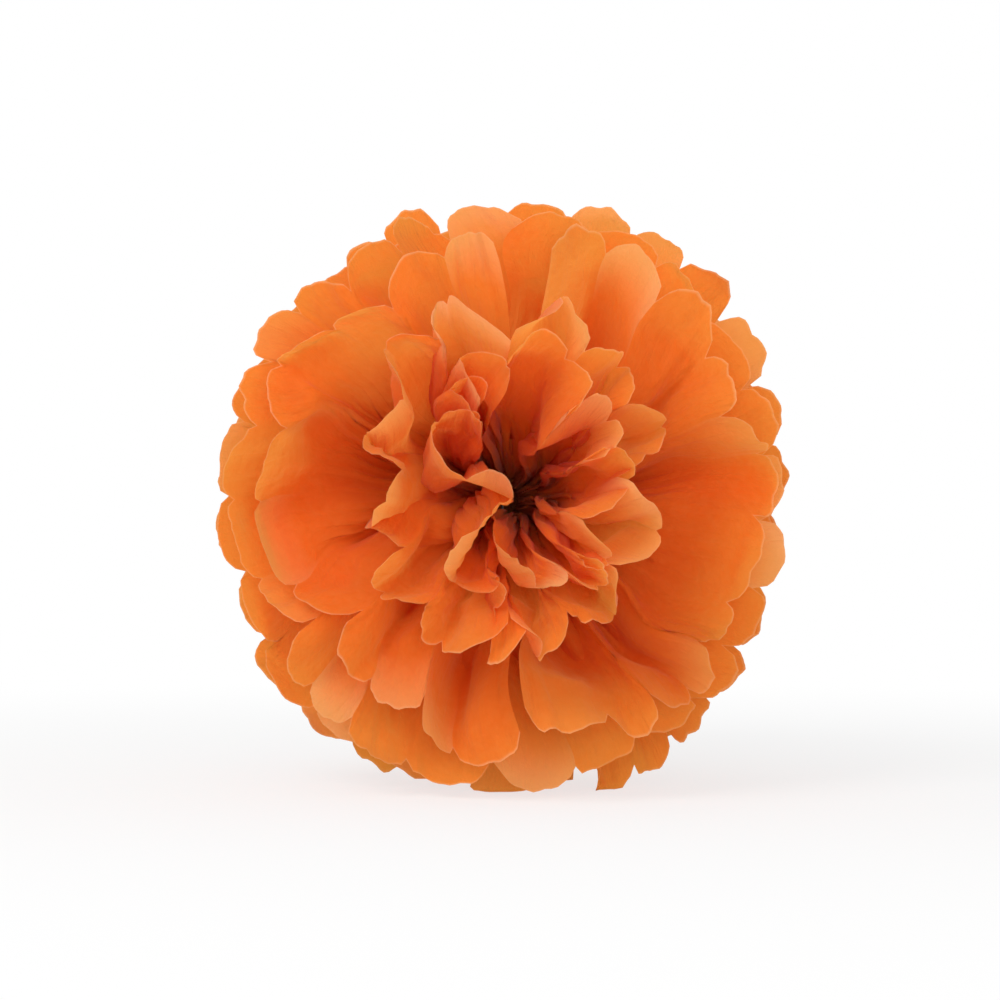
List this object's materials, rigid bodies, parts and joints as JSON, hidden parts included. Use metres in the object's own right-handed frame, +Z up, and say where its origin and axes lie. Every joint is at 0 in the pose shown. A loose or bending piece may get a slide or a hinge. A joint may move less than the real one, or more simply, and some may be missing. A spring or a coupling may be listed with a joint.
{
  "type": "tissue paper pom pom",
  "caption": "Round tissue paper pom pom: pleated sheets tied at the waist with wire, trimmed round and pulled open into a ball of petals.",
  "frame": {"origin": "centre of the bounding box in plan, on the table that the lowest petals are pressed flat on", "axes": "+Z up, along the slit between the two fanned halves, where it would hang; the pleats fan out round Y, and the opened heart that the picture shows faces -Y; +X is to the right in the picture"},
  "size_m": [0.2446, 0.2592, 0.2496],
  "materials": {
    "tissue": "matt translucent tissue paper, dyed orange",
    "wire": "plain drawn wire"
  },
  "bodies": {
    "root": {"tissue_sheet_01": "tissue", "tissue_sheet_02": "tissue", "tissue_sheet_03": "tissue", "tissue_sheet_04": "tissue", "tissue_sheet_05": "tissue", "tissue_sheet_06": "tissue", "tissue_sheet_07": "tissue", "tissue_sheet_08": "tissue", "tissue_sheet_09": "tissue", "tissue_sheet_10": "tissue", "tie_wire": "wire"}
  },
  "joints": []
}
